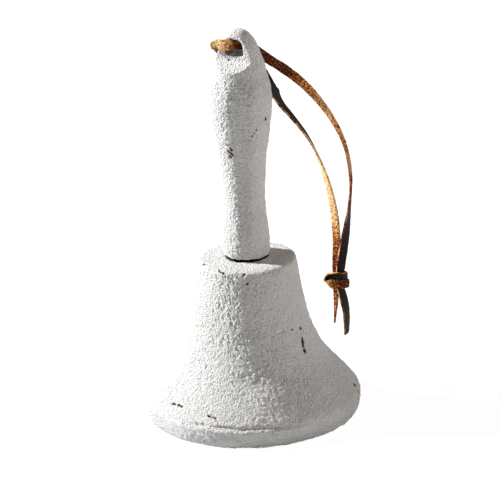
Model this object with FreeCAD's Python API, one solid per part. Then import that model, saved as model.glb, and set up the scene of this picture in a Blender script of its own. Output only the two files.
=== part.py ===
"""Hand-held dinner bell: a sand-cast iron bell and handle, an eye bolt that joins
them, a clapper hung on a link, and a leather lace knotted through the handle's head.

Millimetres, +Z up. The origin is the centre of the bell's mouth, on the surface that
the bell stands on. The window in the head runs along Y.
"""
import FreeCAD, Part
import math
import os

V = FreeCAD.Vector
X_AXIS, Y_AXIS, Z_AXIS = V(1, 0, 0), V(0, 1, 0), V(0, 0, 1)

# ---- bell casting ------------------------------------------------------------------
LIP_R = 51.0            # widest radius, half way up the lip band
LIP_WIDEST_Z = 5.5
LIP_BAND_H = 10.2       # height of the lip band, below the soft step
BAND_TOP_IN = 0.35      # how far the band has drawn in at its top
LIP_STEP = 1.5          # how far inside the lip's widest radius the flare starts
LIP_STEP_H = 1.3        # height of the soft step
RIM_EDGE_IN = 1.1       # how far inside the lip's widest radius the rim's edge is
RIM_ROUND = 1.3
RIM_FLAT_W = 2.0        # width of the flat that the bell stands on
MOUTH_EASE_IN = 1.2     # eased inner edge of the rim
MOUTH_EASE_H = 1.8
LIP_INSIDE_IN = 1.5     # the wall inside the lip, in from the flat's inner edge
LIP_INSIDE_Z = 6.5
SHOULDER_R = 22.9       # radius of the crown's edge
SHOULDER_Z = 76.2       # height of the crown's edge
SHOULDER_ROUND = 1.6
CROWN_RISE = 0.6        # dome of the crown between its edge and the boss
DOME_MID_RISE = 0.42    # its rise half way
BOSS_R = 7.5
BOSS_H = 0.7
WALL = 4.0              # wall of the waist, measured level
FLARE_WALL = 4.5        # wall of the lowest part of the flare, measured level
CROWN_WALL = 5.0        # crown thickness at its centre, without the boss
INNER_ROUND = 4.0       # fillet between the wall and the crown, inside
# radius of the flare and waist at these heights, from the lip band to the shoulder
FLARE = [(46.7, 14.7), (41.4, 21.0), (35.4, 28.4), (31.4, 35.8),
         (28.2, 44.2), (25.8, 54.7), (24.2, 65.2)]

# ---- handle casting ----------------------------------------------------------------
HANDLE_L = 108.8        # foot to the tip of the head
FOOT_R = 10.7
FOOT_ROUND = 1.8
# radius of the grip at these heights above the foot
GRIP = [(10.9, 5.0), (10.5, 13.7), (9.65, 25.2), (9.95, 36.8), (11.0, 48.4),
        (12.5, 58.0), (13.9, 67.7), (14.4, 75.4), (13.9, 82.0), (12.4, 87.4)]
NECK_R = 11.9           # groove between grip and head
NECK_H = 89.7
# radius of the head at these distances below its tip
HEAD = [(11.8, 17.4), (11.1, 15.0), (9.9, 11.2), (8.3, 6.8), (6.1, 3.2), (3.5, 0.9)]
HEAD_THICK = 10.4       # across the two flats
FLAT_FROM_TIP = 13.6    # where the flats end and the ramps to the neck start
RAMP_DROP = 4.4         # height of a ramp
RAMP_RUN = 6.7          # how far a ramp runs out
WINDOW_W = 9.2
WINDOW_SIDE = 3.2       # straight height below the arch
SILL_FROM_TIP = 11.3
DRILL_POINT = math.radians(118)     # point of the drill that opened the tapped hole

# ---- fasteners in the crown --------------------------------------------------------
BOLT_D = 8.0
THREAD_PLAY = 0.05      # radial gap left between bolt and tapped wall
BOLT_HOLE_PLAY = 0.3    # radial gap in the crown, washers
TAP_DEPTH = 26.0
BOLT_TIP_GAP = 2.0      # from the end of the bolt to the bottom of the tapped hole
BOLT_CHAMFER = 0.8
WASHER_R, WASHER_T = 8.5, 1.5
LOCK_R, LOCK_T = 6.8, 2.0
LOCK_SPLIT = 1.4
LOCK_SPLIT_ANGLE = 20   # degrees that the split leans
NUT_AF, NUT_H = 13.0, 6.5
NUT_FACE_IN = 0.2       # how far inside the flats the nut's turned end faces stop
NUT_CHAMFER = math.radians(30)
EYE_WIRE_D = 4.0        # round section of the forged eye
EYE_RING_R = 5.0        # centreline radius of the eye
EYE_BELOW_NUT = 1.0     # from the nut to the top of the eye

# ---- clapper -----------------------------------------------------------------------
LINK_WIRE_D = 3.0
RUN_GAP = 0.25          # gap between two wires that turn on each other
LINK_STRAIGHT = 7.0     # straight side of the link
ROD_EYE_WIRE_D = 3.0
ROD_D = 4.0
BALL_D = 22.0
BALL_Z = 15.0           # height of the ball's centre
SPOT_FACE_D = 8.0       # flats at both ends of the ball's bore
BORE_PLAY = 0.05        # radial gap between rod and ball
COLLAR_D, COLLAR_H = 6.6, 1.4
PEEN_D, PEEN_H = 6.6, 1.5

# ---- leather lace ------------------------------------------------------------------
LACE_D = 3.0            # round tube of about the lace's own section
KNOT_R = 5.8
KNOT_H = 8.8
KNOT_BULGE = 2.4        # how far the knot's waist stands out past its ends
KNOT_BORE_PLAY = 0.15
# routes of the two halves of the lace, from the middle of the lace, on the front of
# the left post of the window, to the cut ends below the knot
LACE_OUT = [(-6.3, -7.2, 178.2), (-3.9, -7.2, 178.33), (-1.5, -5.3, 178.4),
            (0.1, -0.9, 178.2), (2.1, 6.2, 176.8), (5.6, 9.7, 172.8),
            (9.2, 12.6, 168.8), (13.4, 17.7, 164.0), (20.0, 26.5, 154.2),
            (26.8, 35.5, 139.4), (32.0, 42.4, 122.5), (33.7, 44.6, 104.5),
            (32.6, 43.3, 88.0), (31.0, 41.3, 73.5), (29.2, 40.0, 62.0),
            (28.4, 39.8, 53.8), (29.3, 40.6, 46.0), (30.6, 41.2, 36.4),
            (30.1, 40.8, 26.9)]
LACE_BACK = [(-6.3, -7.2, 178.2), (-8.7, -7.2, 178.07), (-10.6, -5.7, 177.8),
             (-11.5, -3.2, 177.4), (-11.6, 0.9, 176.3), (-10.6, 5.4, 174.6),
             (-7.6, 10.6, 172.0), (-3.2, 14.2, 169.0), (1.2, 16.0, 164.8),
             (5.6, 16.4, 158.6), (9.2, 16.0, 152.4), (12.2, 16.8, 146.4),
             (15.8, 20.9, 139.6), (21.2, 28.1, 126.6), (25.3, 33.5, 109.5),
             (27.8, 36.9, 91.5), (28.7, 37.4, 75.5), (28.3, 35.8, 63.0),
             (27.7, 34.8, 54.5), (27.9, 35.4, 45.0), (27.4, 34.7, 35.6)]

REACH = 0.45            # share of the shorter run that a route's arc takes up

# ---- helper sizes ------------------------------------------------------------------
PAST = 5.0              # how far a cutting shape runs past the metal
FAR = 30.0              # past the handle on every side

# ---- places worked out from the sizes above -----------------------------------------
RIM_EDGE_R = LIP_R - RIM_EDGE_IN
MOUTH_R = RIM_EDGE_R - RIM_ROUND - RIM_FLAT_W
BOSS_Z = SHOULDER_Z + CROWN_RISE + BOSS_H      # the handle's foot rests here
CROWN_UNDER_Z = SHOULDER_Z + CROWN_RISE - CROWN_WALL
TIP_Z = BOSS_Z + HANDLE_L
LOCK_Z = CROWN_UNDER_Z - WASHER_T
NUT_TOP_Z = LOCK_Z - LOCK_T
NUT_Z = NUT_TOP_Z - NUT_H
EYE_Z = NUT_Z - EYE_BELOW_NUT - EYE_WIRE_D / 2 - EYE_RING_R
LINK_PIVOT_Z = EYE_Z - EYE_RING_R              # hinge of the link, along X
LINK_BEND_R = EYE_WIRE_D / 2 + RUN_GAP + LINK_WIRE_D / 2
LINK_LOW_Z = LINK_PIVOT_Z - LINK_STRAIGHT      # centre of the link's lower bend
ROD_PIVOT_Z = LINK_LOW_Z - LINK_BEND_R         # hinge of the clapper, along Y
ROD_EYE_R = LINK_WIRE_D / 2 + RUN_GAP + ROD_EYE_WIRE_D / 2
FACE_RISE = math.sqrt((BALL_D / 2) ** 2 - (SPOT_FACE_D / 2) ** 2)
BALL_TOP_Z, BALL_LOW_Z = BALL_Z + FACE_RISE, BALL_Z - FACE_RISE     # its spot faces


def at(r, z):
    """Point of a turned outline, in the XZ plane."""
    return V(r, 0, z)


def line(a, b):
    return Part.LineSegment(a, b).toShape()


def arc(a, b, c):
    return Part.Arc(a, b, c).toShape()


def smooth(points):
    """Smooth curve through points."""
    curve = Part.BSplineCurve()
    curve.interpolate(points)
    return curve.toShape()


def quarter(start, end, centre):
    """Quarter turn of a rounded edge, bulging away from its centre."""
    radius = (start - centre).Length
    middle = centre + ((start + end) * 0.5 - centre).normalize() * radius
    return arc(start, middle, end)


def turned(edges):
    """Solid turned about Z from a closed outline."""
    face = Part.Face(Part.Wire(Part.__sortEdges__(edges)))
    solid = face.revolve(V(0, 0, 0), Z_AXIS, 360)
    return Part.Solid(solid) if solid.ShapeType == "Shell" else solid


def ring(centre_z, radius, wire_d, axis):
    return Part.makeTorus(radius, wire_d / 2, V(0, 0, centre_z), axis)


def disc(radius, low_z, height):
    return Part.makeCylinder(radius, height, V(0, 0, low_z), Z_AXIS)


def bolt_hole(low_z, high_z):
    """Cutting shape for the bolt's clear hole through a piece between two heights."""
    return disc(BOLT_D / 2 + BOLT_HOLE_PLAY, low_z - PAST, high_z - low_z + 2 * PAST)


def one_solid(shape):
    """The single cleaned solid of a boolean result."""
    shape = shape.removeSplitter()
    assert len(shape.Solids) == 1, len(shape.Solids)
    return shape.Solids[0]


def bell_body():
    """Bell casting: outside, hollow inside, and the bolt's hole."""
    rim_out = at(RIM_EDGE_R - RIM_ROUND, 0)
    rim_up = at(RIM_EDGE_R, RIM_ROUND)
    band_top = at(LIP_R - BAND_TOP_IN, LIP_BAND_H)
    flare_foot = at(LIP_R - LIP_STEP, LIP_BAND_H + LIP_STEP_H)
    edge_low = at(SHOULDER_R, SHOULDER_Z - SHOULDER_ROUND)
    edge_top = at(SHOULDER_R - SHOULDER_ROUND, SHOULDER_Z)
    boss_foot = at(BOSS_R, SHOULDER_Z + CROWN_RISE)
    boss_edge = at(BOSS_R, BOSS_Z)
    dome_mid = at((BOSS_R + edge_top.x) / 2, SHOULDER_Z + DOME_MID_RISE)
    outside = turned([
        line(at(0, 0), rim_out),
        quarter(rim_out, rim_up, at(RIM_EDGE_R - RIM_ROUND, RIM_ROUND)),
        arc(rim_up, at(LIP_R, LIP_WIDEST_Z), band_top),
        line(band_top, flare_foot),
        smooth([flare_foot] + [at(r, z) for r, z in FLARE] + [edge_low]),
        quarter(edge_low, edge_top, at(edge_top.x, edge_low.z)),
        arc(edge_top, dome_mid, boss_foot),
        line(boss_foot, boss_edge),
        line(boss_edge, at(0, BOSS_Z)),
        line(at(0, BOSS_Z), at(0, 0))])

    wall_in = [at(r - FLARE_WALL, z) for r, z in FLARE[:3]]
    wall_in += [at(r - WALL, z) for r, z in FLARE[3:]]
    mouth = at(MOUTH_R, 0)
    mouth_up = at(MOUTH_R - MOUTH_EASE_IN, MOUTH_EASE_H)
    lip_inside = at(MOUTH_R - LIP_INSIDE_IN, LIP_INSIDE_Z)
    top_r = SHOULDER_R - WALL
    bend_low = at(top_r, CROWN_UNDER_Z - INNER_ROUND)
    bend_top = at(top_r - INNER_ROUND, CROWN_UNDER_Z)
    hollow = turned([
        line(at(0, -PAST), at(MOUTH_R, -PAST)),
        line(at(MOUTH_R, -PAST), mouth),
        line(mouth, mouth_up),
        smooth([mouth_up, lip_inside] + wall_in + [bend_low]),
        quarter(bend_low, bend_top, at(bend_top.x, bend_low.z)),
        line(bend_top, at(0, CROWN_UNDER_Z)),
        line(at(0, CROWN_UNDER_Z), at(0, -PAST))])
    hole = bolt_hole(CROWN_UNDER_Z, BOSS_Z)
    return one_solid(outside.cut(hollow).cut(hole))


def handle():
    """Handle casting: turned grip and head, two flats, the window, the tapped foot."""
    foot = at(FOOT_R - FOOT_ROUND, BOSS_Z)
    foot_up = at(FOOT_R, BOSS_Z + FOOT_ROUND)
    neck = at(NECK_R, BOSS_Z + NECK_H)
    tip = at(0, TIP_Z)
    grip = [at(r, BOSS_Z + h) for r, h in GRIP]
    head = [at(r, TIP_Z - d) for r, d in HEAD]
    body = turned([
        line(at(0, BOSS_Z), foot),
        quarter(foot, foot_up, at(foot.x, foot_up.z)),
        smooth([foot_up] + grip + [neck]),
        smooth([neck] + head + [tip]),
        line(tip, at(0, BOSS_Z))])

    flat_y = HEAD_THICK / 2
    flat_z = TIP_Z - FLAT_FROM_TIP
    top_z = TIP_Z + PAST
    far_y = flat_y + FAR
    far_z = flat_z - RAMP_DROP / RAMP_RUN * FAR
    for side in (1, -1):
        corners = [(flat_y, top_z), (flat_y, flat_z), (far_y, far_z), (far_y, top_z)]
        outline = [V(-FAR, side * y, z) for y, z in corners]
        face = Part.Face(Part.makePolygon(outline + outline[:1]))
        body = body.cut(face.extrude(V(2 * FAR, 0, 0)))

    half_w = WINDOW_W / 2
    sill_z = TIP_Z - SILL_FROM_TIP
    spring_z = sill_z + WINDOW_SIDE
    left_low, right_low = V(-half_w, -FAR, sill_z), V(half_w, -FAR, sill_z)
    left_up, right_up = V(-half_w, -FAR, spring_z), V(half_w, -FAR, spring_z)
    window = Part.Face(Part.Wire([
        line(left_low, right_low), line(right_low, right_up),
        arc(right_up, V(0, -FAR, spring_z + half_w), left_up), line(left_up, left_low)]))
    body = body.cut(window.extrude(V(0, 2 * FAR, 0)))

    tapped = disc(BOLT_D / 2, BOSS_Z - PAST, TAP_DEPTH + PAST)
    drill_tip = Part.makeCone(BOLT_D / 2, 0, BOLT_D / 2 / math.tan(DRILL_POINT / 2),
                              V(0, 0, BOSS_Z + TAP_DEPTH), Z_AXIS)
    return one_solid(body.cut(tapped).cut(drill_tip))


def eye_bolt():
    """Bolt with a round-section eye; its end is threaded into the handle."""
    shank_top = BOSS_Z + TAP_DEPTH - BOLT_TIP_GAP
    eye_top = EYE_Z + EYE_RING_R
    radius = BOLT_D / 2 - THREAD_PLAY
    shank = Part.makeCylinder(radius, shank_top - NUT_Z, V(0, 0, NUT_Z), Z_AXIS)
    end_circle = [edge for edge in shank.Edges
                  if abs(edge.BoundBox.ZMin - shank_top) < 1e-6 and edge.BoundBox.XLength > radius]
    shank = shank.makeChamfer(BOLT_CHAMFER, end_circle)
    neck = Part.makeCone(EYE_WIRE_D / 2, radius, NUT_Z - eye_top, V(0, 0, eye_top), Z_AXIS)
    eye = ring(EYE_Z, EYE_RING_R, EYE_WIRE_D, Y_AXIS)
    return one_solid(shank.fuse([neck, eye]))


def crown_washer():
    return one_solid(disc(WASHER_R, LOCK_Z, WASHER_T).cut(bolt_hole(LOCK_Z, CROWN_UNDER_Z)))


def lock_washer():
    split = Part.makeBox(LOCK_R + PAST, LOCK_SPLIT, LOCK_T + 2 * PAST,
                         V(0, -LOCK_SPLIT / 2, NUT_TOP_Z - PAST))
    split.rotate(V(0, 0, NUT_TOP_Z + LOCK_T / 2), X_AXIS, LOCK_SPLIT_ANGLE)
    hole = bolt_hole(NUT_TOP_Z, LOCK_Z)
    return one_solid(disc(LOCK_R, NUT_TOP_Z, LOCK_T).cut(hole).cut(split))


def crown_nut():
    """Hexagon nut with its corners turned off."""
    corner_r = NUT_AF / 2 / math.cos(math.pi / 6)
    corners = [V(corner_r * math.cos(math.pi / 3 * i), corner_r * math.sin(math.pi / 3 * i), NUT_Z)
               for i in range(7)]
    hexagon = Part.Face(Part.makePolygon(corners)).extrude(V(0, 0, NUT_H))
    turned_r = NUT_AF / 2 - NUT_FACE_IN
    drop = (corner_r - turned_r) * math.tan(NUT_CHAMFER)
    barrel = turned([
        line(at(0, NUT_Z), at(turned_r, NUT_Z)),
        line(at(turned_r, NUT_Z), at(corner_r, NUT_Z + drop)),
        line(at(corner_r, NUT_Z + drop), at(corner_r, NUT_TOP_Z - drop)),
        line(at(corner_r, NUT_TOP_Z - drop), at(turned_r, NUT_TOP_Z)),
        line(at(turned_r, NUT_TOP_Z), at(0, NUT_TOP_Z)),
        line(at(0, NUT_TOP_Z), at(0, NUT_Z))])
    bore = disc(BOLT_D / 2, NUT_Z - PAST, NUT_H + 2 * PAST)
    return one_solid(hexagon.common(barrel).cut(bore))


def clapper_link():
    """Closed long link in the YZ plane, round the bolt's eye and the rod's eye."""
    top, low, r = LINK_PIVOT_Z, LINK_LOW_Z, LINK_BEND_R
    path = Part.Wire([
        line(V(0, r, low), V(0, r, top)),
        arc(V(0, r, top), V(0, 0, top + r), V(0, -r, top)),
        line(V(0, -r, top), V(0, -r, low)),
        arc(V(0, -r, low), V(0, 0, low - r), V(0, r, low))])
    section = Part.Wire(Part.Circle(V(0, r, low), Z_AXIS, LINK_WIRE_D / 2).toShape())
    return one_solid(Part.Solid(path.makePipeShell([section], True, True)))


def clapper_rod():
    """Rod with an eye at the top, a collar on the ball and a peened end below it."""
    eye = ring(ROD_PIVOT_Z, ROD_EYE_R, ROD_EYE_WIRE_D, Y_AXIS)
    rod = disc(ROD_D / 2, BALL_LOW_Z, ROD_PIVOT_Z - ROD_EYE_R - BALL_LOW_Z)
    collar = disc(COLLAR_D / 2, BALL_TOP_Z, COLLAR_H)
    cap_r = ((PEEN_D / 2) ** 2 + PEEN_H ** 2) / (2 * PEEN_H)
    half_way = math.asin(PEEN_D / 2 / cap_r) / 2
    low, rim = at(0, BALL_LOW_Z - PEEN_H), at(PEEN_D / 2, BALL_LOW_Z)
    mid = at(cap_r * math.sin(half_way), low.z + cap_r * (1 - math.cos(half_way)))
    centre = at(0, BALL_LOW_Z)
    peen = turned([arc(low, mid, rim), line(rim, centre), line(centre, low)])
    return one_solid(rod.fuse([eye, collar, peen]))


def clapper_ball():
    """Iron ball with a flat at both ends of its bore."""
    ball = Part.makeSphere(BALL_D / 2, V(0, 0, BALL_Z))
    slab = disc(BALL_D, BALL_LOW_Z, BALL_TOP_Z - BALL_LOW_Z)
    bore = disc(ROD_D / 2 + BORE_PLAY, BALL_LOW_Z - PAST, BALL_TOP_Z - BALL_LOW_Z + 2 * PAST)
    return one_solid(ball.common(slab).cut(bore))


def rounded_route(name, points):
    """Straight runs joined by tangent arcs; prints the arcs' radii and the length."""
    points = [V(*p) for p in points]
    edges, radii = [], []
    start = points[0]
    for before, corner, after in zip(points, points[1:], points[2:]):
        run_in, run_out = corner - before, after - corner
        half_turn = run_in.getAngle(run_out) / 2
        reach = REACH * min(run_in.Length, run_out.Length)
        radius = reach / math.tan(half_turn)
        way_in, way_out = V(run_in).normalize(), V(run_out).normalize()
        arc_start, arc_end = corner - way_in * reach, corner + way_out * reach
        inwards = (way_out - way_in).normalize()
        centre = corner + inwards * (radius / math.cos(half_turn))
        edges += [line(start, arc_start), arc(arc_start, centre - inwards * radius, arc_end)]
        radii.append(radius)
        start = arc_end
    edges.append(line(start, points[-1]))
    path = Part.Wire(edges)
    print(name, "length", round(path.Length, 1), "radii", [round(r, 1) for r in radii])
    return path


def lace(name, points, diameter):
    """Round tube along a rounded route."""
    path = rounded_route(name, points)
    way = V(*points[1]) - V(*points[0])
    section = Part.Wire(Part.Circle(V(*points[0]), way, diameter / 2).toShape())
    tube = Part.Solid(path.makePipeShell([section], True, True))
    expected = math.pi * diameter ** 2 / 4 * path.Length
    print(name, "volume over section times length", round(tube.Volume / expected, 4))
    return tube


def lace_knot():
    """Barrel of the overhand knot, bored for both strands."""
    middle = (V(*LACE_OUT[-4]) + V(*LACE_BACK[-3])) * 0.5
    half, end_r = KNOT_H / 2, KNOT_R - KNOT_BULGE
    barrel = turned([
        line(at(0, -half), at(end_r, -half)),
        arc(at(end_r, -half), at(KNOT_R, 0), at(end_r, half)),
        line(at(end_r, half), at(0, half)), line(at(0, half), at(0, -half))])
    barrel.translate(middle)
    bore_d = LACE_D + 2 * KNOT_BORE_PLAY
    for name, points in (("bore out", LACE_OUT[-7:]), ("bore back", LACE_BACK[-6:])):
        barrel = barrel.cut(lace(name, points, bore_d))
    return one_solid(barrel)


NODES = {
    "bell_body": bell_body, "handle": handle, "eye_bolt": eye_bolt,
    "crown_washer": crown_washer, "lock_washer": lock_washer, "crown_nut": crown_nut,
    "clapper_link": clapper_link, "clapper_rod": clapper_rod, "clapper_ball": clapper_ball,
    "lace_out": lambda: lace("lace_out", LACE_OUT, LACE_D),
    "lace_back": lambda: lace("lace_back", LACE_BACK, LACE_D),
    "lace_knot": lace_knot,
}

os.makedirs("parts", exist_ok=True)
for node, make in NODES.items():
    shape = make()
    assert shape.isValid(), node
    shape.exportStep("parts/%s.step" % node)
    box = shape.optimalBoundingBox()
    print("%-14s volume %9.1f  z %7.2f to %7.2f" % (node, shape.Volume, box.ZMin, box.ZMax))
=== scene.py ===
# %% [markdown]
# # A hand-held dinner bell
# The bell is made of two rough iron castings, the bell and its handle, under thick white
# paint. A flat leather lace is looped through the window in the handle's head and tied
# in an overhand knot. The clapper hangs inside. The CAD part gives every size and place,
# so this script adds what a CAD part leaves out: the grain of the sand mould, the paint
# and its chips, and leather that looks like leather.

import bmesh
import bpy
import math
import numpy as np
from mathutils import Matrix, Quaternion, Vector, noise


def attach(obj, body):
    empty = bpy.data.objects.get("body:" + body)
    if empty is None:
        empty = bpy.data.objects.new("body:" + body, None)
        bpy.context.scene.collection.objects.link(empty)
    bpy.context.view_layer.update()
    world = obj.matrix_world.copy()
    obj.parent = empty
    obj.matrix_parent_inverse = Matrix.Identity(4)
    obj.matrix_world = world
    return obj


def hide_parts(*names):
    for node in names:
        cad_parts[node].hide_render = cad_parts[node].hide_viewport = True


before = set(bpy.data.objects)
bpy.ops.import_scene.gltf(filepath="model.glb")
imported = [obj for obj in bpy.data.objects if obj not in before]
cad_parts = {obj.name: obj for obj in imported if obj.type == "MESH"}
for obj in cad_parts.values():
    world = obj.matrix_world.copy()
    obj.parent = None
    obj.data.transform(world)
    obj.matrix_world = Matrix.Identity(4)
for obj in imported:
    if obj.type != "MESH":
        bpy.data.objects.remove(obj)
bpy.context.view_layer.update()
MM = 0.001
print("nodes:", ", ".join(sorted(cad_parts)))

# %% [markdown]
# ## The camera
# The bell is seen from a little above, from the right of the window's front. A long lens
# from a metre and a half away keeps the mouth's ellipse flat, as in a catalogue picture.
# The camera could be aimed with a Track To constraint, but here its turn is worked out
# once, so that a small roll can be added after it.

# %% Camera
VIEW_AZIMUTH = math.radians(28)
VIEW_ELEVATION = math.radians(19.6)
VIEW_DISTANCE = 1.5
VIEW_ROLL = math.radians(-2.3)
LENS = 232.5
BELL_MIDDLE = Vector((0, 0, 0.090))
AIM = Vector((0.0029, -0.0023, 0.0804))

viewer_side = Vector((math.sin(VIEW_AZIMUTH), -math.cos(VIEW_AZIMUTH), 0))
to_viewer = viewer_side * math.cos(VIEW_ELEVATION) + Vector((0, 0, math.sin(VIEW_ELEVATION)))
viewer_right = Vector((0, 0, 1)).cross(viewer_side)

camera = bpy.data.objects.new("camera", bpy.data.cameras.new("camera"))
bpy.context.scene.collection.objects.link(camera)
camera.data.lens = LENS
camera.location = BELL_MIDDLE + to_viewer * VIEW_DISTANCE
aimed = (AIM - camera.location).to_track_quat("-Z", "Y")
camera.rotation_euler = (aimed @ Quaternion((0, 0, 1), VIEW_ROLL)).to_euler()
bpy.context.scene.camera = camera
print("camera at", [round(c, 3) for c in camera.location])

# %% [markdown]
# ## Helpers for materials
# A material is a small graph of nodes. Writing each node out in full hides what it does,
# so one helper makes a node and sets its inputs, and another feeds one node's output to
# another's input.

# %% Node helpers
def blank_material(name):
    material = bpy.data.materials.new(name)
    material.use_nodes = True
    tree = material.node_tree
    shader = tree.nodes["Principled BSDF"]
    return material, tree, shader


def add(tree, kind, inputs=(), **settings):
    """A node with its settings, and its inputs either linked or set to a number."""
    made = tree.nodes.new(kind)
    for setting, value in settings.items():
        setattr(made, setting, value)
    for socket, value in dict(inputs).items():
        if isinstance(value, bpy.types.NodeSocket):
            tree.links.new(value, made.inputs[socket])
        else:
            made.inputs[socket].default_value = value
    return made


def object_place(tree):
    return add(tree, "ShaderNodeTexCoord").outputs["Object"]


def speckle(tree, place, size_mm, detail=2.0, roughness=0.5):
    """Noise whose features are about size_mm across, from 0 to 1."""
    inputs = {"Vector": place, "Scale": 0.6 / (size_mm * MM), "Detail": detail,
              "Roughness": roughness}
    return add(tree, "ShaderNodeTexNoise", inputs).outputs["Fac"]


def ramp(tree, value, stops, interpolation="LINEAR"):
    """Colour along a list of (position, colour) stops."""
    made = add(tree, "ShaderNodeValToRGB", {"Fac": value})
    made.color_ramp.interpolation = interpolation
    elements = made.color_ramp.elements
    while len(elements) < len(stops):
        elements.new(0.5)
    for element, (position, colour) in zip(elements, stops):
        element.position = position
        element.color = (*colour, 1)
    return made.outputs["Color"]


def rescale(tree, value, low, high, to_low=0.0, to_high=1.0):
    inputs = {"Value": value, "From Min": low, "From Max": high, "To Min": to_low,
              "To Max": to_high}
    return add(tree, "ShaderNodeMapRange", inputs, interpolation_type="SMOOTHSTEP").outputs["Result"]


def mixed(tree, factor, first, second):
    """Two colours mixed by a factor."""
    made = add(tree, "ShaderNodeMix", data_type="RGBA")
    for socket, value in ((made.inputs[0], factor), (made.inputs[6], first),
                          (made.inputs[7], second)):
        if isinstance(value, bpy.types.NodeSocket):
            tree.links.new(value, socket)
        else:
            socket.default_value = (*value, 1) if isinstance(value, tuple) else value
    return made.outputs[2]


def bumped(tree, shader, height, depth_mm, strength=1.0, under=None):
    inputs = {"Height": height, "Distance": depth_mm * MM, "Strength": strength}
    if under is not None:
        inputs["Normal"] = under
    bump = add(tree, "ShaderNodeBump", inputs)
    tree.links.new(bump.outputs["Normal"], shader.inputs["Normal"])
    return bump.outputs["Normal"]


def attribute(tree, name):
    return add(tree, "ShaderNodeAttribute", attribute_name=name).outputs["Fac"]


# %% [markdown]
# ## The lace's two materials in one
# One side of the lace is the smooth skin, dyed dark brown, and the other is suede, whose
# loose fibres catch the light in orange specks. One material carries both, and an
# attribute on the mesh says where it is which: 0 on the skin, 1 on the suede. Two
# materials with a hard border would show a line that cut leather doesn't have.

# %% Leather
def leather():
    material, tree, shader = blank_material("leather")
    place = object_place(tree)
    side = attribute(tree, "suede")
    fibres = speckle(tree, place, 0.55, detail=4, roughness=0.75)
    patches = speckle(tree, place, 3.0)
    worn_places = speckle(tree, place, 2.0, detail=3)
    skin = mixed(tree, patches, (0.006, 0.003, 0.002), (0.022, 0.010, 0.006))
    # Painted light and shade: a level given along the lace lightens the suede where light falls on it
    # and darkens it where it lies in shade.
    painted_light_level = rescale(tree, attribute(tree, "lace_painted_light"), 0, 1.3, -0.10, 0.14)
    fibres_and_painted_light = add(tree, "ShaderNodeMath", {0: fibres, 1: painted_light_level}, operation="ADD").outputs[0]
    suede = ramp(tree, fibres_and_painted_light, [(0.36, (0.025, 0.005, 0.001)), (0.47, (0.17, 0.035, 0.008)),
                                  (0.55, (0.52, 0.145, 0.026)), (0.62, (1.0, 0.56, 0.20)),
                                  (0.70, (1.0, 0.86, 0.58))])
    colour = mixed(tree, rescale(tree, side, 0.3, 0.7), skin, suede)
    worn = add(tree, "ShaderNodeMath", {0: attribute(tree, "cut_edge"),
                                        1: rescale(tree, worn_places, 0.35, 0.65)},
               operation="MULTIPLY").outputs[0]
    colour = mixed(tree, rescale(tree, worn, 0.3, 0.9, 0, 0.8), colour, (0.76, 0.49, 0.25))
    tree.links.new(colour, shader.inputs["Base Color"])
    tree.links.new(rescale(tree, side, 0.3, 0.7, 0.50, 0.95), shader.inputs["Roughness"])
    shader.inputs["Specular IOR Level"].default_value = 0.2
    pores = speckle(tree, place, 0.3, detail=3)
    bumped(tree, shader, mixed(tree, rescale(tree, side, 0.3, 0.7), pores, fibres), 0.14)
    return material


LEATHER = leather()
print("material:", LEATHER.name)

# %% [markdown]
# ## The route of the lace
# The lace is one strip, and its middle lies on the front of the window's left post. One
# half goes out through the window, the other half goes round the post and behind the
# handle, and both come down behind on the right to the knot. Each half is a NURBS curve,
# because its control points pull the line without forcing it through them, so it bends
# as softly as leather does. Blender reads the curve back as a fine chain of points.

# %% Routes
LACE_OUT = [(-6.3, -6.0, 179.9), (-3.9, -6.1, 180.0), (-1.6, -5.2, 179.9),
            (0.1, -0.9, 179.2), (2.1, 6.2, 177.0), (5.6, 9.7, 172.8),
            (9.2, 12.6, 168.8), (13.4, 17.7, 164.0), (20.0, 26.5, 154.2),
            (26.8, 35.5, 139.4), (32.0, 42.4, 122.5), (33.7, 44.6, 104.5),
            (32.6, 42.6, 88.0), (31.2, 39.8, 73.5), (29.9, 37.6, 62.0),
            (29.3, 36.8, 53.8), (30.2, 39.0, 46.0), (31.2, 40.6, 36.4),
            (30.5, 40.4, 26.9)]
LACE_BACK = [(-6.3, -6.0, 179.9), (-8.1, -5.9, 179.7), (-9.6, -5.1, 178.9),
             (-9.8, -3.0, 177.5), (-10.5, 0.9, 175.2), (-10.8, 5.4, 172.6),
             (-8.6, 10.4, 169.8), (-3.4, 14.2, 167.6), (1.2, 16.0, 164.8),
             (5.6, 16.4, 158.6), (9.2, 16.0, 152.4), (12.2, 16.8, 146.4),
             (15.8, 20.9, 139.6), (21.2, 28.1, 126.6), (25.3, 33.5, 109.5),
             (27.6, 37.2, 91.5), (28.0, 38.4, 75.5), (27.4, 38.4, 63.0),
             (26.9, 38.4, 54.5), (27.2, 37.4, 45.0), (26.6, 36.0, 33.6)]


def nurbs_line(name, points_mm):
    """Points of a NURBS curve with these control points, as vectors in metres."""
    curve = bpy.data.curves.new(name, "CURVE")
    curve.dimensions = "3D"
    curve.resolution_u = 24
    spline = curve.splines.new("NURBS")
    spline.points.add(len(points_mm) - 1)
    for control, point in zip(spline.points, points_mm):
        control.co = (*(Vector(point) * MM), 1)
    spline.order_u = 3
    spline.use_endpoint_u = True
    holder = bpy.data.objects.new(name, curve)
    mesh = bpy.data.meshes.new_from_object(holder)
    line = [vertex.co.copy() for vertex in mesh.vertices]
    bpy.data.objects.remove(holder)
    bpy.data.meshes.remove(mesh)
    return line


def even_steps(line, step):
    """The same line with its points about a step apart, and their distances along it."""
    corners = np.array(line)
    along = np.concatenate([[0], np.cumsum(np.linalg.norm(np.diff(corners, axis=0), axis=1))])
    marks = np.linspace(0, along[-1], max(2, round(along[-1] / step)) + 1)
    places = np.stack([np.interp(marks, along, corners[:, axis]) for axis in range(3)], 1)
    return [Vector(place) for place in places], marks


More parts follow.
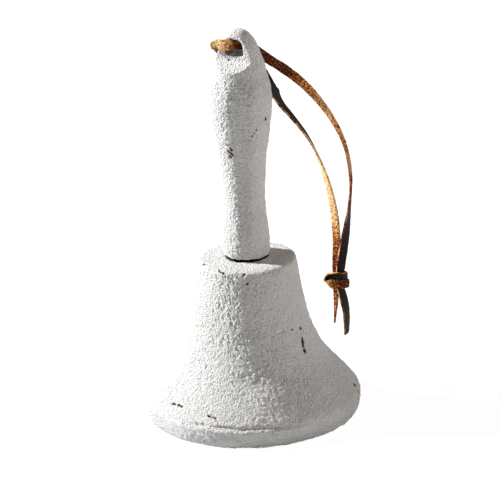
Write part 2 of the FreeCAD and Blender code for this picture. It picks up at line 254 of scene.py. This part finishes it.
out_line = nurbs_line("out line", LACE_OUT)
back_line = nurbs_line("back line", LACE_BACK)
for name, line in (("out", out_line), ("back", back_line)):
    print(name, "half of the lace:", round(even_steps(line, MM)[1][-1] / MM, 1), "mm")

# %% [markdown]
# ## A flat strip along a line
# A curve with a flat bevel would turn as it likes along the way, and this lace has a
# right side and a wrong side that show by turns. So the strip is a ring of points,
# extruded station by station, and each station says how far the suede has turned away
# from the viewer. A suede angle of 0 faces the viewer, and 90 faces left on a strip that
# hangs down.

# %% Strip helper
SECTION_POINTS = 24
STRIP_STEP = 0.5 * MM
SQUARENESS = 0.45       # 1 gives an oval section, near 0 a rectangle
RAW_EDGE = 0.75         # the skin's share of half the thickness; the cut edges are raw


def spread(line_points, controls_mm, values):
    """Values given at the control points, for every point of the line."""
    nearest = [min(range(len(line_points)), key=lambda i: (line_points[i] - Vector(c) * MM).length)
               for c in controls_mm]
    smooth = np.interp(range(len(line_points)), nearest, values)
    kernel = np.hanning(15)[1:-1]
    padded = np.pad(smooth, len(kernel) // 2, mode="edge")
    return np.convolve(padded, kernel / kernel.sum(), mode="valid")


def section_frame(place, along, towards, angle, width, thickness):
    """Matrix of a section: X across the strip, Y out of its suede side, Z along it."""
    facing = (towards - along * towards.dot(along)).normalized()
    beside = along.cross(facing)
    suede = facing * math.cos(angle) + beside * math.sin(angle)
    across = suede.cross(along)
    turn = Matrix((across * width / 2, suede * thickness / 2, along)).transposed()
    return Matrix.Translation(place) @ turn.to_4x4()


def strip(bm, frames, painted_lights):
    """Extrudes a rounded section through the frames, with caps at both ends."""
    # Painted light: each station carries a level for the material, paler where light falls on the suede
    # and darker in shade.
    lace_painted_light = bm.verts.layers.float.new("lace_painted_light")
    suede_side = bm.verts.layers.float.new("suede")
    edge_side = bm.verts.layers.float.new("cut_edge")
    ring = bmesh.ops.create_circle(bm, segments=SECTION_POINTS, radius=1.0)["verts"]
    for vert in ring:
        x, y = vert.co.x, vert.co.y
        vert.co.x = math.copysign(abs(x) ** SQUARENESS, x)
        vert.co.y = math.copysign(abs(y) ** SQUARENESS, y)
        vert[suede_side] = 0 if vert.co.y < -RAW_EDGE else 1
        vert[edge_side] = 1 if abs(vert.co.x) > 0.9 else 0
        vert[lace_painted_light] = painted_lights[0]
    edges = list({edge for vert in ring for edge in vert.link_edges})
    bmesh.ops.transform(bm, matrix=frames[0], verts=ring)
    bmesh.ops.contextual_create(bm, geom=edges)
    for edge in edges:
        edge.smooth = False
    for before, after, painted_light_level in zip(frames, frames[1:], painted_lights[1:]):
        made = bmesh.ops.extrude_edge_only(bm, edges=edges)["geom"]
        ring = [g for g in made if isinstance(g, bmesh.types.BMVert)]
        fresh = set(ring)
        edges = [g for g in made if isinstance(g, bmesh.types.BMEdge) and set(g.verts) <= fresh]
        bmesh.ops.transform(bm, matrix=after @ before.inverted(), verts=ring)
        for vert in ring:
            vert[lace_painted_light] = painted_light_level
    bmesh.ops.contextual_create(bm, geom=edges)
    for edge in edges:
        edge.smooth = False


def finished(bm, name, materials, smooth=True):
    """Closes a bmesh into an object at the origin, with its faces outwards."""
    bmesh.ops.recalc_face_normals(bm, faces=bm.faces)
    mesh = bpy.data.meshes.new(name)
    bm.to_mesh(mesh)
    bm.free()
    for material in materials:
        mesh.materials.append(material)
    mesh.shade_smooth() if smooth else mesh.shade_flat()
    made = bpy.data.objects.new(name, mesh)
    bpy.context.scene.collection.objects.link(made)
    print(name, "faces:", len(mesh.polygons))
    return made


def fray(bm, skin_depth, suede_depth):
    """Moves the points in and out along their normals, more on the suede."""
    suede_side = bm.verts.layers.float.get("suede")
    bm.normal_update()
    for vert in bm.verts:
        rough = vert[suede_side]
        place = vert.co / MM
        fuzz = noise.noise(place / 0.7) + 0.6 * noise.noise(place / 0.35)
        wave = noise.noise(place / 2.5)
        depth = skin_depth * wave + suede_depth * rough * fuzz
        vert.co += vert.normal * depth


# %% [markdown]
# ## The two halves of the lace
# The lace is about 4.5 mm wide and 1.8 mm thick. The lists give the suede angle at each
# control point: the smooth skin lies against the iron, so the suede faces out in front
# of the post, and lower down each half twists until its skin or its suede faces the
# viewer. Each half ends in a cut tail below the knot, and the back one tapers to a point.

# %% Lace halves
LACE_WIDTH = 4.5 * MM
LACE_THICK = 1.25 * MM
TURN_OUT = [22, 22, 30, 37, 15, 0, 0, 10, 34, 60, 76, 82, 108, 150, 165, 165, 150, 128, 116]
TURN_BACK = [-22, -22, -60, -115, -143, -160, -175, -180, -190, -208, -220, -234, -244,
             -260, -290, -312, -322, -335, -330, -310, -290]
# Painted light and shade along each half: higher values paint the suede paler where light falls on it,
# lower values darker where it lies in shade.
PAINTED_LIGHT_OUT = [1.3, 1.0, 0.7, 0.3, 0.2, 0.15, 0.15, 0.15, 0.7, 0.9, 0.4, 0.35, 0.45, 0.6, 0.5, 0.5,
           0.4, 0.5, 0.6]
PAINTED_LIGHT_BACK = [1.3, 1.3, 1.0, 0.5, 0.3, 0.3, 0.3, 0.3, 0.3, 0.3, 0.3, 0.4, 0.5, 1.0, 1.3, 1.1,
            0.65, 0.3, 0.3, 0.5, 0.3]
TAIL_OUT = 1 * MM       # length of the blunt end of the front tail
TAIL_BACK = 20 * MM     # length of the taper of the back tail
KNOT_MIDDLE = Vector((28.05, 37.6, 54.0)) * MM
PINCH, PINCH_REACH = 0.22, 7 * MM       # how much narrower the strip is in the knot
BEND_BULGE, BEND_REACH = 0.16, 7 * MM   # how much wider it is pressed against the post
FOLD = Vector((9.2, 16.0, 152.4)) * MM  # a kink where the back half leaves the handle
FOLD_BULGE, FOLD_REACH = 0.35, 2.2 * MM


def lace_half(name, line, controls, turns, painted_lights, taper, tip_width):
    points, marks = even_steps(line, STRIP_STEP)
    angles = np.radians(spread(points, controls, turns))
    painted_light_level = spread(points, controls, painted_lights)
    frames = []
    for i, place in enumerate(points):
        ahead, behind = points[min(i + 1, len(points) - 1)], points[max(i - 1, 0)]
        along = (ahead - behind).normalized()
        left = min(1, (marks[-1] - marks[i]) / taper)
        ripple = 1 + 0.05 * noise.noise(Vector((marks[i] / (6 * MM), 0, len(points))))
        squeezed = 1 - PINCH * math.exp(-((place - KNOT_MIDDLE).length / PINCH_REACH) ** 2)
        bulge = 1 + BEND_BULGE * math.exp(-(marks[i] / BEND_REACH) ** 2)
        bulge += FOLD_BULGE * math.exp(-((place - FOLD).length / FOLD_REACH) ** 2)
        width = LACE_WIDTH * ripple * squeezed * bulge * (tip_width + (1 - tip_width) * left)
        thick = LACE_THICK * (0.55 + 0.45 * left)
        frames.append(section_frame(place, along, to_viewer, angles[i], width, thick))
    bm = bmesh.new()
    strip(bm, frames, painted_light_level)
    fray(bm, 0.05 * MM, 0.14 * MM)
    return finished(bm, name, [LEATHER])


lace_out = lace_half("lace_out_strip", out_line, LACE_OUT, TURN_OUT, PAINTED_LIGHT_OUT, TAIL_OUT, 0.9)
lace_back = lace_half("lace_back_strip", back_line, LACE_BACK, TURN_BACK, PAINTED_LIGHT_BACK, TAIL_BACK,
                      0.25)

# %% [markdown]
# ## The knot
# An overhand knot pulled tight shows two bands: the upper one with the skin outside, and
# the lower one with the suede outside, because the strip turns over on the left between
# them. It is one strip again, wound nearly twice round both strands. Its route is given
# around the knot's own centre, as steps to the viewer's right, towards the viewer and up.

# %% Knot
KNOT_ROUTE = [(0, -3.0, 3.0), (3.6, -2.2, 3.0), (4.5, 1.4, 3.2), (2.2, 4.1, 3.8),
              (-1.8, 4.4, 4.7), (-4.2, 3.4, 4.3), (-5.4, 2.6, 2.3), (-4.4, 3.6, 0.8),
              (-1.6, 4.9, 0.7), (2.2, 5.2, 0.6), (4.9, 3.2, 0.1), (4.8, -0.8, -0.6),
              (2.4, -3.2, -1.2), (-1.2, -3.0, -1.4)]
KNOT_TURN = [180, 180, 180, 180, 172, 130, 60, 15, 0, 0, 0, 0, 0, 0]
KNOT_WIDTHS = [3.8, 3.8, 3.8, 3.8, 4.4, 4.9, 4.9, 4.9, 4.6, 4.0, 3.8, 3.6, 3.4, 3.2]
# Painted light and shade on the knot: paler on its lit left turn, darker on its shaded right side.
KNOT_PAINTED_LIGHT = [0.5, 0.5, 0.5, 0.5, 0.8, 1.1, 1.3, 1.1, 0.5, 0.25, 0.25, 0.3, 0.3, 0.3]
KNOT_THICK = 1.5 * MM


def knot():
    steps = np.array(KNOT_ROUTE)
    places = [KNOT_MIDDLE / MM + viewer_right * r + viewer_side * c + Vector((0, 0, z))
              for r, c, z in steps]
    line = nurbs_line("knot line", places)
    points, marks = even_steps(line, STRIP_STEP)
    angles = np.radians(spread(points, places, KNOT_TURN))
    widths = spread(points, places, KNOT_WIDTHS) * MM
    painted_light_level = spread(points, places, KNOT_PAINTED_LIGHT)
    frames = []
    for i, place in enumerate(points):
        ahead, behind = points[min(i + 1, len(points) - 1)], points[max(i - 1, 0)]
        along = (ahead - behind).normalized()
        outwards = place - KNOT_MIDDLE
        outwards.z = 0
        frames.append(section_frame(place, along, outwards, angles[i], widths[i], KNOT_THICK))
    bm = bmesh.new()
    strip(bm, frames, painted_light_level)
    fray(bm, 0.05 * MM, 0.12 * MM)
    return finished(bm, "lace_knot_tied", [LEATHER])


tied_knot = knot()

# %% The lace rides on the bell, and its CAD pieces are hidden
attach(lace_out, "bell")
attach(lace_back, "bell")
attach(tied_knot, "bell")
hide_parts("lace_out")
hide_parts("lace_back")
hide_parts("lace_knot")

# %% [markdown]
# ## Painted sand casting
# Molten iron takes the print of the sand it is poured into, so both castings are covered
# in grains about a millimetre across, and thick paint rounds them off. The larger grains
# are real shape: points of a fine mesh moved in and out by noise. Only the finest grain
# is left to a bump in the material. Chips are marked on the same mesh by an attribute,
# which both sinks the surface and shows the dark iron. The same attribute paints the gap
# under the handle's foot dark, as painted shade, and the hollows of the grain are painted
# darker too, as painted shade.

# %% Paint and iron
def painted_iron():
    material, tree, shader = blank_material("painted_iron")
    place = object_place(tree)
    bare_and_gap_shade, painted_pit_shade = attribute(tree, "bare_and_gap_shade"), attribute(tree, "painted_pit_shade")
    grain = speckle(tree, place, 0.44, detail=2, roughness=0.5)
    ragged_edge = speckle(tree, place, 0.5, detail=4, roughness=0.7)
    clouds = speckle(tree, place, 14, detail=3)
    paint = mixed(tree, rescale(tree, clouds, 0.35, 0.7), (0.83, 0.825, 0.815), (0.79, 0.78, 0.765))
    # Painted shade: the grain's hollows, marked on the mesh, are painted darker where shade would
    # gather in them.
    paint = mixed(tree, rescale(tree, painted_pit_shade, 0.6, 1.0, 0.0, 0.35), paint, (0.55, 0.53, 0.51))
    # Painted shade: where the fine bump grain is low, in its hollows, the paint is painted darker.
    paint = mixed(tree, rescale(tree, grain, 0.26, 0.42, 0.5, 0.0), paint, (0.50, 0.48, 0.465))
    wander = rescale(tree, ragged_edge, 0.2, 0.8, -0.3, 0.3)
    ragged = add(tree, "ShaderNodeMath", {0: bare_and_gap_shade, 1: wander}, operation="ADD").outputs[0]
    # Chips show rust and dark iron; the same colours paint the gap under the handle's foot dark, as
    # painted shade.
    rust = mixed(tree, rescale(tree, ragged, 0.42, 0.52), paint, (0.34, 0.22, 0.15))
    colour = mixed(tree, rescale(tree, ragged, 0.50, 0.56), rust, (0.020, 0.015, 0.012))
    tree.links.new(colour, shader.inputs["Base Color"])
    tree.links.new(rescale(tree, grain, 0.3, 0.7, 0.72, 0.9), shader.inputs["Roughness"])
    shader.inputs["Specular IOR Level"].default_value = 0.35
    bumped(tree, shader, grain, 1.7)
    return material


PAINTED_IRON = painted_iron()
CHIP_DEPTH = 0.25 * MM
POOL_FROM, POOL_TO = 0.6, 0.9           # how far up a face looks where the paint pools
HEAD_FROM, HEAD_TO = 164 * MM, 170 * MM     # the handle's head was painted thicker too
POOL_SHARE = 0.5                        # how much of the grain the pooled paint hides


def grain_height(place):
    """Height of the grain at a place on a casting, from about -1 to 1."""
    p = place / MM
    return noise.noise(p / 0.85) + 0.6 * noise.noise(p / 1.7 + Vector((7, 3, 1)))


def pooled(vert):
    """How much of the grain thick paint hides at a point, from 0 to POOL_SHARE."""
    level = (vert.normal.z - POOL_FROM) / (POOL_TO - POOL_FROM)
    head = (vert.co.z - HEAD_FROM) / (HEAD_TO - HEAD_FROM)
    return POOL_SHARE * min(1, max(0, level, head))


def cast_surface(bm, chips, grain_depth, swell_depth):
    """Gives a mesh its sand grain, broad unevenness and chips, and marks the grain's hollows for
    painted shade.
    """
    bare_and_gap_shade = bm.verts.layers.float.get("bare_and_gap_shade") or bm.verts.layers.float.new("bare_and_gap_shade")
    painted_pit_shade = bm.verts.layers.float.new("painted_pit_shade")
    bm.normal_update()
    moves = []
    for vert in bm.verts:
        height = grain_height(vert.co) * (1 - pooled(vert))
        swell = noise.noise(vert.co / (16 * MM)) + 0.5 * noise.noise(vert.co / (5 * MM))
        chipped = 0.0
        for centre, radius in chips:
            gap = (vert.co - centre).length
            chipped = max(chipped, 1 - 0.5 * gap / radius)
        vert[bare_and_gap_shade] = max(vert[bare_and_gap_shade], chipped)
        # painted shade: how deep the point lies in the grain's hollows, for the material to darken it
        vert[painted_pit_shade] = min(1, max(0, 0.5 - height))
        sunk = CHIP_DEPTH * min(1, max(0, vert[bare_and_gap_shade] * 4 - 1.5))
        depth = grain_depth * height + swell_depth * swell - sunk
        moves.append(vert.normal * depth)
    for vert, move in zip(bm.verts, moves):
        vert.co += move


def round_place(azimuth, radius_mm, height_mm):
    """Place at an azimuth in degrees, a radius and a height."""
    angle = math.radians(azimuth)
    return Vector((radius_mm * math.cos(angle), radius_mm * math.sin(angle), height_mm)) * MM


def crack(start, end, count, wander, radius):
    """A jagged row of chips from one place to another."""
    row = []
    for i in range(count):
        share = i / (count - 1)
        place = start.lerp(end, share)
        drift = noise.noise_vector(place / (2.1 * MM)) * wander
        row.append((place + drift, radius * (0.7 + 0.6 * noise.noise(place / (1.1 * MM)) ** 2)))
    return row


# %% [markdown]
# ## The bell casting
# A bell is a turned shape, so its outline is spun round the Z axis. The outline is cut
# from the CAD casting itself with a plane, which keeps the two exactly alike, and its
# points are spaced again: close together outside, where the grain must show, and wider
# inside.

# %% Bell
SPIN_STEPS = 468
OUTSIDE_STEP = 0.56 * MM
INSIDE_STEP = 2.6 * MM
GROOVE_Z, GROOVE_R = 9.8 * MM, 46 * MM
GROOVE_DEPTH = 0.95 * MM
GROOVE_AZIMUTH, GROOVE_SPREAD = -72, 34
# Painted shade: the crown inside this radius, under the handle's foot, gets the bare-iron colour, so
# the gap under the foot shows dark.
CROWN_GAP_SHADE_Z, CROWN_GAP_SHADE_R = 0.070, 0.0102
PAINT_SOFTENING = 5     # rounds of easing the outline's edges, as thick paint does


def cut_outline(node):
    """(radius, height) points of a turned node's closed outline."""
    bm = bmesh.new()
    bm.from_mesh(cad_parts[node].data)
    bmesh.ops.remove_doubles(bm, verts=bm.verts, dist=0.001 * MM)
    slant = Vector((math.cos(0.3), math.sin(0.3), 0))
    everything = bm.verts[:] + bm.edges[:] + bm.faces[:]
    cut = bmesh.ops.bisect_plane(bm, geom=everything, plane_co=(0, 0, 0),
                                 plane_no=slant.cross(Vector((0, 0, 1))))["geom_cut"]
    edges = {g for g in cut if isinstance(g, bmesh.types.BMEdge)
             and all(v.co.dot(slant) > 0 for v in g.verts)}
    start = max((v for e in edges for v in e.verts), key=lambda v: v.co.z - v.co.dot(slant))
    loop, here, came = [start], start, None
    while True:
        ways = [e for e in here.link_edges if e in edges and e is not came]
        if came is None:
            ways.sort(key=lambda e: -e.other_vert(here).co.dot(slant))
        came = ways[0]
        here = came.other_vert(here)
        if here is start:
            break
        loop.append(here)
    outline = [(v.co.dot(slant), v.co.z) for v in loop]
    bm.free()
    return outline


def respaced(outline, step):
    points = [Vector((r, 0, z)) for r, z in outline]
    return even_steps(points, step)[0]


bell_outline = cut_outline("bell_body")
rim_index = min(range(len(bell_outline)), key=lambda i: bell_outline[i][1] * 10 + bell_outline[i][0])
outside = respaced(bell_outline[:rim_index + 1], OUTSIDE_STEP)
for _ in range(PAINT_SOFTENING):
    outside[1:-1] = [(a + b * 2 + c) / 4 for a, b, c in zip(outside, outside[1:], outside[2:])]
inside = respaced(bell_outline[rim_index:], INSIDE_STEP)
print("bell outline:", len(outside), "points outside,", len(inside), "inside")


def lip_groove(bm):
    """An uneven groove above the lip's band, deepest in front, with a ridge under it."""
    for vert in bm.verts:
        level = Vector((vert.co.x, vert.co.y, 0))
        if level.length < GROOVE_R or vert.co.z > 2 * GROOVE_Z:
            continue
        around = math.degrees(math.atan2(vert.co.y, vert.co.x))
        front = math.exp(-((around - GROOVE_AZIMUTH) / GROOVE_SPREAD) ** 2)
        uneven = 0.8 + 0.9 * noise.noise(vert.co / (7 * MM) + Vector((3, 0, 0)))
        above = vert.co.z - GROOVE_Z - 0.6 * MM * noise.noise(level / (11 * MM))
        groove = math.exp(-(above / (0.75 * MM)) ** 2)
        ridge = math.exp(-((above + 1.7 * MM) / (0.9 * MM)) ** 2)
        move = (ridge * 0.6 - groove) * GROOVE_DEPTH * uneven * (0.25 + 0.75 * front)
        vert.co += level.normalized() * move


def bell(chips):
    bm = bmesh.new()
    verts = [bm.verts.new(point) for point in outside + inside[1:]]
    edges = [bm.edges.new(pair) for pair in zip(verts, verts[1:] + verts[:1])]
    bmesh.ops.spin(bm, geom=verts + edges, cent=(0, 0, 0), axis=(0, 0, 1), angle=2 * math.pi,
                   steps=SPIN_STEPS, use_merge=True, use_duplicate=False)
    bmesh.ops.remove_doubles(bm, verts=bm.verts, dist=0.001 * MM)
    bmesh.ops.recalc_face_normals(bm, faces=bm.faces)
    lip_groove(bm)
    bare_and_gap_shade = bm.verts.layers.float.new("bare_and_gap_shade")
    # Painted shade: the crown under the handle's foot is marked bare, so the gap there is painted dark.
    for vert in bm.verts:
        if vert.co.z > CROWN_GAP_SHADE_Z and vert.co.xy.length < CROWN_GAP_SHADE_R:
            vert[bare_and_gap_shade] = 1
    cast_surface(bm, chips, 0.46 * MM, 0.35 * MM)
    return finished(bm, "bell_casting", [PAINTED_IRON])


BELL_CHIPS = (crack(round_place(-5, 28.0, 45.3), round_place(-10, 32.0, 34.8), 14, 1.6 * MM, 1.1 * MM)
              + crack(round_place(-100, 21.6, 76.2), round_place(-92, 22.7, 75.2), 4, 1 * MM, 0.9 * MM)
              + crack(round_place(19, 49.2, 12), round_place(16, 51.0, 6), 7, 2.0 * MM, 1.0 * MM)
              + crack(round_place(-116, 46.6, 15), round_place(-84, 47.6, 14), 20, 1.0 * MM, 0.85 * MM)
              + [(round_place(-66, 22.6, 75.8), 0.8 * MM), (round_place(-17, 27.7, 46), 0.6 * MM),
                 (round_place(-63, 23.4, 71), 0.6 * MM), (round_place(-130, 21.6, 76.4), 0.8 * MM)])
bell_casting = bell(BELL_CHIPS)
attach(bell_casting, "bell")
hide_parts("bell_body")

# %% [markdown]
# ## The handle casting
# The handle has flats and a window, so it can't be spun. Its CAD mesh is copied, and a
# voxel Remesh modifier lays an even skin of small faces over it, which rounds the sharp
# edges a little, as paint does. Then it gets the same grain.

# %% Handle
HANDLE_FACE = 0.46 * MM
FLAT_LEFT, FLAT_RIGHT = -85, -44        # azimuths of one flat's edges at mid grip
FLAT_LEVEL, FLAT_TWIST = 135, -0.1      # height of mid grip, and degrees a millimetre up
FLAT_FROM, FLAT_TO, FLAT_FADE = 86, 168, 10
FOOT_GAP_SHADE = 0.32 * MM                   # painted shade of the gap under the foot, drawn in bare-iron colour this far above the foot's end


def flatten_grip(bm):
    """Two long flats opposite each other, with an edge where the shade begins."""
    for vert in bm.verts:
        height = vert.co.z / MM
        fade = min(height - FLAT_FROM, FLAT_TO - height) / FLAT_FADE
        if fade <= 0:
            continue
        left = FLAT_LEFT + (height - FLAT_LEVEL) * FLAT_TWIST
        half = (FLAT_RIGHT - left) / 2
        around = math.degrees(math.atan2(vert.co.y, vert.co.x))
        away = (around - left - half + 90) % 180 - 90
        if abs(away) < half:
            flat = math.cos(math.radians(half)) / math.cos(math.radians(away))
            vert.co.xy *= 1 + (flat - 1) * min(1, fade)


def handle(chips):
    bm = bmesh.new()
    bm.from_mesh(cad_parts["handle"].data)
    bmesh.ops.remove_doubles(bm, verts=bm.verts, dist=0.001 * MM)
    copy = finished(bm, "handle_copy", [])
    remesh = copy.modifiers.new("even skin", "REMESH")
    remesh.mode = "VOXEL"
    remesh.voxel_size = HANDLE_FACE
    skin = bpy.data.meshes.new_from_object(
        copy.evaluated_get(bpy.context.evaluated_depsgraph_get()))
    bpy.data.objects.remove(copy)
    bm = bmesh.new()
    bm.from_mesh(skin)
    bpy.data.meshes.remove(skin)
    bmesh.ops.smooth_vert(bm, verts=bm.verts, factor=0.5, use_axis_x=True, use_axis_y=True,
                          use_axis_z=True)
    flatten_grip(bm)
    bare_and_gap_shade = bm.verts.layers.float.new("bare_and_gap_shade")
    # Painted shade: a ring at the foot's lower end, wider to one side, is marked bare, so the gap under
    # the foot is painted dark.
    foot = min(vert.co.z for vert in bm.verts)
    for vert in bm.verts:
        edge = FOOT_GAP_SHADE + 15 * MM * MM * vert.co.x / MM
        vert[bare_and_gap_shade] = 1 if vert.co.z < foot + edge else 0
    cast_surface(bm, chips, 0.36 * MM, 0.35 * MM)
    return finished(bm, "handle_casting", [PAINTED_IRON])


# Azimuth and height of each slanted dash down the edge of the flat.
DASHES = [(-91, 133.2), (-90.5, 130.4), (-89, 127.8), (-87.5, 125.2), (-87, 122.6), (-97, 119.8)]
DASH_SLANT, DASH_RISE, DASH_RADIUS = 4, 0.95, 11.6      # half its turn, half its height, mm out
HANDLE_CHIPS = (crack(round_place(-40, 13.0, 139), round_place(-34, 13.4, 141), 3, 1 * MM, 0.6 * MM)
                + [(round_place(-9, 13.9, 145.5), 0.8 * MM), (round_place(-116, 5.8, 172.7), 0.6 * MM)])
for azimuth, height in DASHES:
    HANDLE_CHIPS += crack(round_place(azimuth - DASH_SLANT, DASH_RADIUS, height + DASH_RISE),
                          round_place(azimuth + DASH_SLANT, DASH_RADIUS, height - DASH_RISE),
                          4, 0.4 * MM, 0.8 * MM)
handle_casting = handle(HANDLE_CHIPS)
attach(handle_casting, "bell")
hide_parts("handle")

# %% [markdown]
# ## Steel and bare iron inside
# The bolt, nut, washers, link and rod are plated steel, and the ball is bare iron with a
# skin of rust. They keep their CAD meshes, so only their materials are new.

# %% Hardware
def plated_steel():
    material, tree, shader = blank_material("steel")
    place = object_place(tree)
    dull = speckle(tree, place, 4.0, detail=4)
    scratches = speckle(tree, place, 0.4, detail=3)
    shader.inputs["Metallic"].default_value = 1.0
    colour = mixed(tree, rescale(tree, dull, 0.35, 0.7), (0.62, 0.61, 0.58), (0.42, 0.40, 0.36))
    tree.links.new(colour, shader.inputs["Base Color"])
    tree.links.new(rescale(tree, dull, 0.3, 0.7, 0.28, 0.5), shader.inputs["Roughness"])
    bumped(tree, shader, scratches, 0.02)
    return material


def bare_iron():
    material, tree, shader = blank_material("bare_iron")
    place = object_place(tree)
    scale = speckle(tree, place, 1.2, detail=4, roughness=0.6)
    rust = speckle(tree, place, 5.0, detail=5, roughness=0.65)
    colour = mixed(tree, rescale(tree, rust, 0.45, 0.65), (0.075, 0.068, 0.062), (0.20, 0.085, 0.04))
    tree.links.new(colour, shader.inputs["Base Color"])
    tree.links.new(rescale(tree, rust, 0.4, 0.65, 0.5, 0.85), shader.inputs["Roughness"])
    shader.inputs["Metallic"].default_value = 0.6
    bumped(tree, shader, scale, 0.12)
    return material


STEEL, BARE_IRON = plated_steel(), bare_iron()
steel_nodes = ("eye_bolt", "crown_washer", "lock_washer", "crown_nut", "clapper_link", "clapper_rod")
for node in steel_nodes + ("clapper_ball",):
    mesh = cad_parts[node].data
    mesh.materials.clear()
    mesh.materials.append(BARE_IRON if node == "clapper_ball" else STEEL)
print("hardware:", ", ".join(steel_nodes))

# %% [markdown]
# ## Floor and light
# The bell stands on a pale table in a light room. The key lamp stands level with the
# left side of the bell and fairly low, so that half the bell is bright and every grain
# near the border of the shade throws a small shadow. The world gives the soft fill.

# %% Lamps
KEY_ELEVATION = math.radians(35)
KEY_BEHIND = math.radians(13)


def lamp(name, direction, distance, size, watts, colour):
    """Round area lamp shining at the middle of the bell from a direction."""
    made = bpy.data.objects.new(name, bpy.data.lights.new(name, "AREA"))
    made.data.shape = "DISK"
    made.data.size = size
    made.data.energy = watts
    made.data.color = colour
    made.location = BELL_MIDDLE + direction * distance
    made.rotation_euler = (-direction).to_track_quat("-Z", "Y").to_euler()
    bpy.context.scene.collection.objects.link(made)


def direction(right, towards, elevation):
    level = (viewer_right * right + viewer_side * towards).normalized()
    return level * math.cos(elevation) + Vector((0, 0, math.sin(elevation)))


key_way = direction(-math.cos(KEY_BEHIND), -math.sin(KEY_BEHIND), KEY_ELEVATION)
lamp("key", key_way, 2.0, 0.10, 76, (1, 1, 1))
lamp("right fill", direction(1, 0.15, math.radians(12)), 1.4, 1.2, 8.8, (1, 0.94, 0.90))

# %% [markdown]
# ## Table and wall
# Two sheets share the work of the table. One is seen by the camera only, and glows a
# little, so that it stays pale where the bell shades it. The other is hidden from the
# camera and only throws light back up at the bell, as a real table does. A round wall in
# the same pale finish stands far behind them, for views from low down.

# %% Table
TABLE_HALF = 6.0
UNDER_TABLE = 1 * MM
WALL_RADIUS, WALL_HEIGHT, WALL_STEPS = 5.5, 4.0, 64
SEEN_COLOUR, SEEN_GLOW = 0.2, 0.93


def pale_sheet(bm, name, colour, glow):
    material, tree, shader = blank_material(name)
    shader.inputs["Base Color"].default_value = (colour, colour, colour, 1)
    shader.inputs["Roughness"].default_value = 0.9
    shader.inputs["Emission Color"].default_value = (1, 1, 1, 1)
    shader.inputs["Emission Strength"].default_value = glow
    made = finished(bm, name, [material], smooth=False)
    return made


def table(name, height, colour, glow):
    bm = bmesh.new()
    bmesh.ops.create_grid(bm, x_segments=1, y_segments=1, size=TABLE_HALF,
                          matrix=Matrix.Translation((0, 0, height)))
    return pale_sheet(bm, name, colour, glow)


def only_seen(sheet):
    """Keeps a sheet for the camera alone, so that it neither lights nor shades."""
    sheet.visible_diffuse = False
    sheet.visible_glossy = False
    sheet.visible_shadow = False


def round_wall():
    bm = bmesh.new()
    corner = bm.verts.new((WALL_RADIUS, 0, -UNDER_TABLE))
    edge = bm.edges.new((corner, bm.verts.new((WALL_RADIUS, 0, WALL_HEIGHT))))
    bmesh.ops.spin(bm, geom=list(edge.verts) + [edge], cent=(0, 0, 0), axis=(0, 0, 1),
                   angle=2 * math.pi, steps=WALL_STEPS, use_merge=True)
    return pale_sheet(bm, "far_wall", SEEN_COLOUR, SEEN_GLOW)


only_seen(table("seen_table", -0.3 * MM, SEEN_COLOUR, SEEN_GLOW))
only_seen(round_wall())
lit_table = table("lit_table", -UNDER_TABLE, 0.7, 0)
lit_table.visible_camera = False

# %% World
FILL = 0.108
world = bpy.data.worlds.new("light room")
bpy.context.scene.world = world
world.use_nodes = True
background = world.node_tree.nodes["Background"]
background.inputs["Color"].default_value = (1.0, 0.98, 0.96, 1)
background.inputs["Strength"].default_value = FILL
bpy.context.scene.view_settings.view_transform = "Standard"
